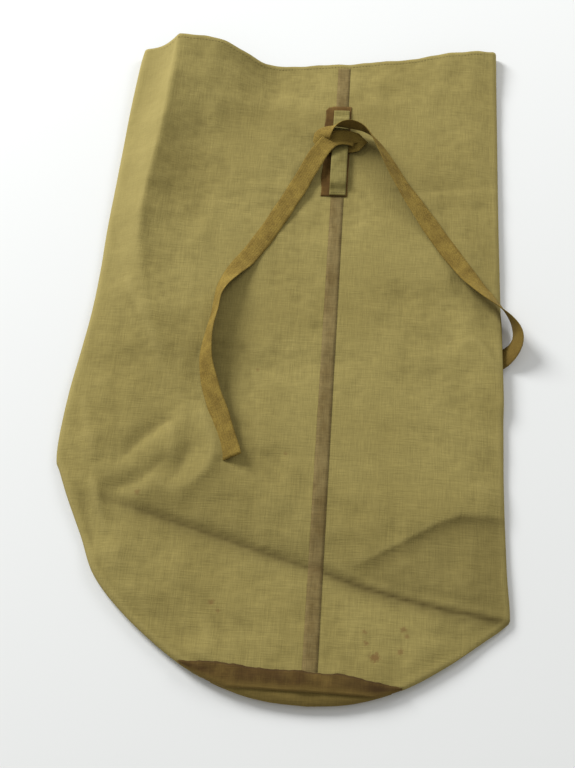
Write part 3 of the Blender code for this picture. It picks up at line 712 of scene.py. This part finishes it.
def make_hem(material):
    """Turned-in edge of the mouth, a second layer just inside it."""
    depths = np.array((0.0085, 0.0045, 0.0008))
    ys = MOUTH_Y - depths
    tops = np.array([top_stations(MOUTH_Y)[2:-2] for _ in ys])
    unders = np.array([under_stations(MOUTH_Y)[1:-1] for _ in ys])
    inset = CLOTH + GAP
    y_top = np.repeat(ys[:, None], tops.shape[1], axis=1)
    y_under = np.repeat(ys[:, None], unders.shape[1], axis=1)
    xs = np.concatenate([tops, unders], axis=1)
    y_all = np.concatenate([y_top, y_under], axis=1)
    zs = np.concatenate([top_height(tops, y_top) - inset, under_height(unders, y_under) + inset], axis=1)
    verts = np.stack([xs, at_mouth(xs, y_all), zs], axis=-1).reshape(-1, 3)
    hem = add_mesh("mouth_fold", verts, grid_faces(len(ys), xs.shape[1], closed=True))
    thicken(hem, 0.0008, -1.0)
    return dress(hem, material)


# ---------------------------------------------------------------- base and tapes
def plate_height(x, y):
    """Underside of the base: on the floor, rising at its rim over the tape."""
    return 0.0008 * ramp((base_distance(x, y) + 0.036) / 0.022)


def make_base(material):
    """Round base: flat underneath and rolled up at the bottom to the front seam."""
    seam_y = BASE_SEAM_Y - GAP
    lip_left, lip_right = float(left_edge(seam_y)) + 0.010, float(right_edge(seam_y)) - 0.010
    reach = BASE_RADIUS - 0.002
    outer_count, lip_columns = 12, 64
    columns = np.concatenate([np.linspace(BASE_X - reach, lip_left, outer_count)[:-1],
                              np.linspace(lip_left, lip_right, lip_columns),
                              np.linspace(lip_right, BASE_X + reach, outer_count)[1:]])
    lip_count, plate_count = 12, 18
    places, index = [], {}
    for i, x in enumerate(columns):
        edge = float(bottom_edge(x))
        has_lip = outer_count - 1 <= i < outer_count - 1 + lip_columns
        far = BASE_Y + math.sqrt(max(BASE_RADIUS ** 2 - (x - BASE_X) ** 2, 0.0))
        if has_lip:
            for j in range(lip_count):
                turn = math.cos(0.5 * math.pi * j / lip_count)
                y = edge + (seam_y - edge) * (1.0 - math.sqrt(1.0 - turn * turn))
                index[i, j] = len(places)
                places.append((x, y, edge, 1.0))
        start = edge if has_lip else max(edge, BOTTOM) + 0.012
        for j in range(plate_count):
            y = start + (far - start) * (j / (plate_count - 1)) ** 1.6
            index[i, lip_count + j] = len(places)
            places.append((x, y, edge if has_lip else -9.0, 0.0))
    xs, ys, edges, on_lip = np.array(places).T
    turned = rounding(3.0 * (ys - edges), 0.018)
    plate = waist(xs, edges) * (1.0 - turned) + plate_height(xs, ys) * turned
    plate = np.where(edges > -1.0, plate, plate_height(xs, ys))
    verts = np.stack([xs, ys, np.where(on_lip > 0.5, top_height(xs, ys), plate)], axis=-1)
    faces = []
    for i in range(len(columns) - 1):
        for j in range(lip_count + plate_count - 1):
            corners = [(i, j), (i, j + 1), (i + 1, j + 1), (i + 1, j)]
            if all(key in index for key in corners):
                faces.append(tuple(index[key] for key in corners))
    base = add_mesh("base_cloth", verts, faces)
    thicken(base, CLOTH, -1.0)
    return dress(base, material)


def strip(name, xs, ys, base, thickness, material, lift=None):
    """Strip lying on the top layer; lift is added to its height and may depend on both directions."""
    grid_x, grid_y = np.meshgrid(xs, ys)
    zs = top_height(grid_x, grid_y) + base
    if lift is not None:
        zs = zs + lift(grid_x, grid_y)
    verts = np.stack([grid_x, at_mouth(grid_x, grid_y), zs], axis=-1).reshape(-1, 3)
    obj = add_mesh(name, verts, grid_faces(len(ys), len(xs)))
    thicken(obj, thickness, 1.0)
    # the cloth's painted shade and highlight from tone_of carry over onto the strip
    return dress(obj, material, tone_of(grid_x, grid_y).reshape(-1, 3))


def make_seam_tape(material):
    """Narrow tape over the side seam, from the base tape to the hem."""
    ys = ROWS[(ROWS > BASE_SEAM_Y + 0.006) & (ROWS < MOUTH_Y - 0.007)]
    xs = np.linspace(SEAM_LOW.x, SEAM_HIGH.x, 5)
    return strip("seam_cover", xs, ys, 0.0001, 0.00022, material)


# Upper edge of the tape over the base seam
BAND_TOP = np.array(((-0.108, -0.4115), (-0.100, -0.4150), (-0.070, -0.4160), (-0.034, -0.4150),
                     (-0.010, -0.4195), (0.036, -0.4195), (0.078, -0.4200), (0.109, -0.4240),
                     (0.152, -0.4300)))


def make_base_tape(material):
    """Front stretch of the tape over the base seam, on both the tube and the base."""
    spread = np.linspace(-0.110, 0.160, 130)
    tops = np.interp(spread, BAND_TOP[:, 0], BAND_TOP[:, 1])
    columns = spread[bottom_edge(spread) + 0.002 < tops]
    low = BAND_LOW.y
    shares = np.linspace(0.0, 1.0, 9)
    draw = np.random.default_rng(11)
    phases = draw.uniform(0.0, 2.0 * math.pi, 6)
    places = []
    for x in columns:
        ragged = sum(size * math.sin(x * 2 * math.pi / length + phase) for size, length, phase
                     in zip((0.0006, 0.0005, 0.0003, 0.0002), (0.083, 0.047, 0.021, 0.009), phases))
        high = np.interp(x, BAND_TOP[:, 0], BAND_TOP[:, 1])
        start = max(low, float(bottom_edge(x)) + 0.0007)
        for share in shares:
            y = start + (high + ragged - start) * share
            places.append((x, y, share))
    xs, ys, across = np.array(places).T
    over_seam = 0.0011 * ramp(1.8 - np.abs(xs - SEAM_X) / HALF_SEAM_TAPE)
    zs = top_height(xs, ys) + 2 * GAP + 0.0004 * np.sin(math.pi * across) + over_seam
    verts = np.stack([xs, ys, zs], axis=-1)
    smear = 0.5 + 0.3 * np.sin(xs * 61.0 + 0.6) + 0.2 * np.sin(xs * 173.0)
    middle = np.exp(-((across - 0.55) / 0.3) ** 2) * smear
    right = ramp((xs - 0.05) / 0.05)
    dark = np.clip(0.9 * (across > 0.90) + 0.55 * middle + 0.35 * right, 0.0, 1.0)
    rim = 0.75 * ramp((0.42 - across) / 0.35) * (1.0 - 0.4 * right)
    tones = np.stack([dark * (1.0 - rim), rim, 0.0 * across], axis=-1)
    tape = add_mesh("base_band", verts, grid_faces(len(columns), len(shares)))
    thicken(tape, 0.0006, -1.0)
    return dress(tape, material, tones)


def make_under_tape(material):
    """Stretch of the same tape under the sack, round the rim of the base."""
    half, rows = 0.012, []
    start = float(bottom_edge(BASE_X - BASE_RADIUS + half)) + 0.030
    end = float(bottom_edge(BASE_X + BASE_RADIUS - half)) + 0.024
    for y in np.linspace(start, BASE_Y, 8)[:-1]:
        rows.append([(BASE_X - BASE_RADIUS + side, y, 0.0001) for side in (-half, 0.0, half)])
    for angle in np.linspace(math.pi, 0.0, 49):
        cos, sin = math.cos(angle), math.sin(angle)
        rows.append([(BASE_X + cos * (BASE_RADIUS - side), BASE_Y + sin * (BASE_RADIUS - side), 0.0001)
                     for side in (-half, 0.0, half)])
    for y in np.linspace(BASE_Y, end, 8)[1:]:
        rows.append([(BASE_X + BASE_RADIUS - side, y, 0.0001) for side in (-half, 0.0, half)])
    verts = [point for row in rows for point in row]
    tape = add_mesh("base_band_under", verts, grid_faces(len(rows), 3))
    thicken(tape, 0.0004, 1.0)
    return dress(tape, material)


# ---------------------------------------------------------------- keeper and stitches
def keeper_lift(x, y):
    """The strip lies flat at its sewn ends and stands over the tie between them."""
    near = np.minimum(y - STRIP_LOW.y, STRIP_HIGH.y - y) - KEEPER_END
    return KEEPER_TUNNEL * ramp(near / KEEPER_RAMP)


def patch_lift(x, y):
    """The backing lies over the seam tape and comes down to the cloth beside it."""
    return 0.0007 * ramp(2.0 - np.abs(x - SEAM_X) / HALF_SEAM_TAPE)


def make_keeper(patch_material, strip_material):
    """The strip over the tie, and the backing under it with its cut corner and uneven left edge."""
    rows = np.linspace(PATCH_LOW.y, PATCH_HIGH.y, 46)
    patch = strip("keeper_backing", np.linspace(PATCH_LOW.x, PATCH_HIGH.x, 25), rows, 0.0002,
                  PATCH_THICKNESS, patch_material, patch_lift)
    for vertex in patch.data.vertices:
        x, y, _ = vertex.co
        corner = max(y - (PATCH_HIGH.y - 0.007), 0.0) * ramp((SEAM_X - 0.011 - x) / 0.010)
        vertex.co.x += 0.8 * corner + 0.0007 * math.sin(y * 160.0) * ramp((SEAM_X - x) / 0.02)
    rows = np.linspace(STRIP_LOW.y, STRIP_HIGH.y, 60)
    keeper = strip("keeper_band", np.linspace(STRIP_LOW.x, STRIP_HIGH.x, 11), rows,
                   PATCH_BASE + PATCH_THICKNESS + GAP, STRIP_THICKNESS, strip_material, keeper_lift)
    return patch, keeper


def thread_run(name, centres, directions, length, radius, material):
    """Row of stitches, each a short thread that dips into the cloth at both ends."""
    verts, faces = [], []
    ring = 6
    for centre, direction in zip(centres, directions):
        along = Vector(direction).normalized()
        level = Vector((0.0, 0.0, 1.0)).cross(along).normalized()
        up = along.cross(level)
        first = len(verts)
        for share, size, drop in ((-0.5, 0.45, 1.1), (-0.3, 1.0, 0.2), (0.3, 1.0, 0.2), (0.5, 0.45, 1.1)):
            middle = Vector(centre) + along * (length * share) - up * (radius * drop)
            for k in range(ring):
                angle = 2.0 * math.pi * k / ring
                verts.append(middle + (level * math.cos(angle) + up * math.sin(angle)) * radius * size)
        for r in range(3):
            for k in range(ring):
                a, b = first + r * ring + k, first + r * ring + (k + 1) % ring
                faces.append((a, b, b + ring, a + ring))
        faces.append(tuple(first + k for k in reversed(range(ring))))
        faces.append(tuple(first + 3 * ring + k for k in range(ring)))
    return dress(add_mesh(name, verts, faces), material)


def make_hem_stitches(material):
    xs = np.arange(LEFT + 0.048, RIGHT - 0.020, 0.0042)
    ys = np.full(xs.shape, MOUTH_Y - 0.0055)
    centres = np.stack([xs, at_mouth(xs, ys), top_height(xs, ys) + 0.00015], axis=-1)
    directions = np.gradient(centres, axis=0)
    return thread_run("mouth_stitches", centres, directions, 0.0030, 0.00032, material)


def make_keeper_stitches(name, y, material):
    """Stitches across one sewn end of the keeper strip."""
    xs = np.linspace(STRIP_LOW.x + 0.0028, STRIP_HIGH.x - 0.0028, 6)
    ys = np.full(xs.shape, y)
    top = PATCH_BASE + PATCH_THICKNESS + GAP + STRIP_THICKNESS
    centres = np.stack([xs, at_mouth(xs, ys), top_height(xs, ys) + top + 0.0002], axis=-1)
    directions = np.gradient(centres, axis=0)
    return thread_run(name, centres, directions, 0.0024, 0.00042, material)


# ---------------------------------------------------------------- tie
def tie_curve(step=0.004):
    """Even points along the tie's route, each with its tilt."""
    fine = spline(TIE_ROUTE, 14 * len(TIE_ROUTE))
    lengths = np.linalg.norm(np.diff(fine[:, :3], axis=0), axis=1)
    along = np.concatenate([[0.0], np.cumsum(lengths)])
    marks = np.linspace(0.0, along[-1], int(along[-1] / step) + 1)
    return np.stack([np.interp(marks, along, fine[:, k]) for k in range(4)], axis=1), marks


def tie_frames(curve):
    """For each point, the direction of the tie's width and the normal of its face."""
    tangents = np.gradient(curve[:, :3], axis=0)
    frames, previous = [], Vector((1.0, 0.0, 0.0))
    for point, tangent in zip(curve, tangents):
        along = Vector(tangent).normalized()
        level = along.cross(Vector((0.0, 0.0, 1.0)))
        across = level.normalized() if level.length > 0.5 else previous
        if across.dot(previous) < 0.0:
            across = -across
        across = (across - along * across.dot(along)).normalized()
        previous = across
        normal = across.cross(along)
        tilt = math.radians(point[3])
        side = across * math.cos(tilt) + normal * math.sin(tilt)
        frames.append((side, side.cross(along).normalized()))
    return frames


def make_tie(material):
    """Woven tape with rounded selvedges, a little cupped across its width."""
    curve, marks = tie_curve()
    shares = np.cos(np.linspace(math.pi, 0.0, 9))
    verts, values = [], []
    for (point, mark), (side, normal) in zip(zip(curve, marks), tie_frames(curve)):
        centre = Vector(point[:3])
        cup = 0.0008 * math.sin(mark * 23.0) + 0.0004 * math.sin(mark * 61.0)
        half = 0.5 * TIE_WIDTH + 0.00025 * math.sin(mark * 140.0)
        for face in (1.0, -1.0):
            order = shares if face > 0.0 else shares[-2:0:-1]
            for share in order:
                thick = 0.5 * TIE * math.sqrt(max(1.0 - abs(share) ** 9, 0.0)) * (0.86 + 0.3 * share ** 4)
                offset = face * thick - cup * share * share
                verts.append(centre + side * (half * share) + normal * offset)
                # third value marks the underside face, which the material darkens as painted shade
                values.append((half * share, mark, 0.0 if face > 0.0 else 1.0))
    count = 2 * len(shares) - 2
    faces = grid_faces(len(curve), count, closed=True)
    last = (len(curve) - 1) * count
    faces += [tuple(reversed(range(count))), tuple(last + k for k in range(count))]
    tie = add_mesh("tie_webbing", verts, faces)
    point_attribute(tie, "tape", values)
    tie.data.materials.append(material)
    return tie, [tuple(point[:3]) for point in curve], float(marks[-1])


# ---------------------------------------------------------------- floor and light
def add_floor():
    mesh = bpy.data.meshes.new("floor")
    mesh.from_pydata([(-6.0, -6.0, 0.0), (6.0, -6.0, 0.0), (6.0, 6.0, 0.0), (-6.0, 6.0, 0.0)], [],
                     [(0, 1, 2, 3)])
    mesh.materials.append(plain_material("floor", (0.855, 0.872, 0.868), 0.95))
    floor = bpy.data.objects.new("floor", mesh)
    bpy.context.scene.collection.objects.link(floor)


def add_light(name, location, target, size, power):
    data = bpy.data.lights.new(name, "AREA")
    data.shape = "DISK"
    data.size = size
    data.energy = power
    light = bpy.data.objects.new(name, data)
    light.location = location
    light.rotation_euler = (Vector(target) - Vector(location)).to_track_quat("-Z", "Y").to_euler()
    bpy.context.scene.collection.objects.link(light)


def add_lights():
    """Large soft key from the upper left, behind the sack, a weak fill and a pale surround."""
    add_light("key", (-3.30, 2.87, 2.35), (0.0, 0.0, 0.0), 2.1, 268.0)
    add_light("fill", (2.20, 2.60, 2.00), (0.0, 0.0, 0.0), 1.5, 34.0)
    world = bpy.data.worlds.new("surround")
    world.use_nodes = True
    background = world.node_tree.nodes["Background"]
    background.inputs["Color"].default_value = (1.0, 0.99, 0.97, 1.0)
    background.inputs["Strength"].default_value = 0.42
    bpy.context.scene.world = world
    bpy.context.scene.view_settings.view_transform = "Standard"


# ---------------------------------------------------------------- assembly
def main():
    add_camera()
    webbing = webbing_material("webbing", (0.245, 0.165, 0.030, 1.0), (0.34, 0.240, 0.052, 1.0),
                               (0.115, 0.070, 0.014, 1.0))
    canvas = canvas_material("canvas", (0.300, 0.245, 0.078, 1.0), (0.355, 0.290, 0.100, 1.0),
                             (0.215, 0.165, 0.048, 1.0))
    base_canvas = canvas_material("base_canvas", (0.200, 0.145, 0.038, 1.0), (0.26, 0.195, 0.06, 1.0),
                                  (0.095, 0.058, 0.016, 1.0), False)
    proofed = tape_material("proofed_tape", (0.128, 0.074, 0.017, 1.0), (0.195, 0.132, 0.034, 1.0),
                            (0.048, 0.024, 0.007, 1.0), 0.0011, 0.85)
    backing_cloth = tape_material("keeper_backing", (0.126, 0.065, 0.013, 1.0), (0.175, 0.100, 0.024, 1.0),
                                  (0.062, 0.030, 0.007, 1.0), 0.0011, 0.85)
    seam_cloth = tape_material("seam_tape", (0.195, 0.140, 0.047, 1.0), (0.265, 0.205, 0.085, 1.0),
                               (0.115, 0.075, 0.024, 1.0), 0.0011, 0.85)
    keeper_cloth = tape_material("keeper_cloth", (0.225, 0.188, 0.056, 1.0), (0.29, 0.245, 0.082, 1.0),
                                 (0.150, 0.120, 0.032, 1.0), 0.0010, 0.88)
    thread = tape_material("thread", (0.26, 0.21, 0.085, 1.0), (0.32, 0.26, 0.11, 1.0),
                           (0.15, 0.115, 0.045, 1.0), 0.0010, 0.85)

    tie, path, length = make_tie(webbing)
    place(tie, "tie", "webbing", "tie_tape")
    body = place(make_body(canvas), "sack", "canvas", "body_panel")
    hem = place(make_hem(canvas), "sack", "canvas", "mouth_hem")
    place(make_hem_stitches(thread), "sack", "thread", "hem_stitching")
    base = place(make_base(base_canvas), "sack", "base_canvas", "base_disc")
    seam = place(make_seam_tape(seam_cloth), "sack", "proofed_tape", "seam_tape")
    place(make_base_tape(proofed), "sack", "proofed_tape", "base_tape_front")
    place(make_under_tape(proofed), "sack", "proofed_tape", "base_tape_under")
    patch, keeper = make_keeper(backing_cloth, keeper_cloth)
    place(patch, "sack", "proofed_tape", "keeper_patch")
    place(keeper, "sack", "keeper_cloth", "keeper_strip")
    for end, y in (("upper", STRIP_HIGH.y - 0.012), ("lower", STRIP_LOW.y + 0.004)):
        place(make_keeper_stitches("keeper_threads_" + end, y, thread), "sack", "thread",
              "keeper_stitch_" + end)

    add_floor()
    add_lights()


main()
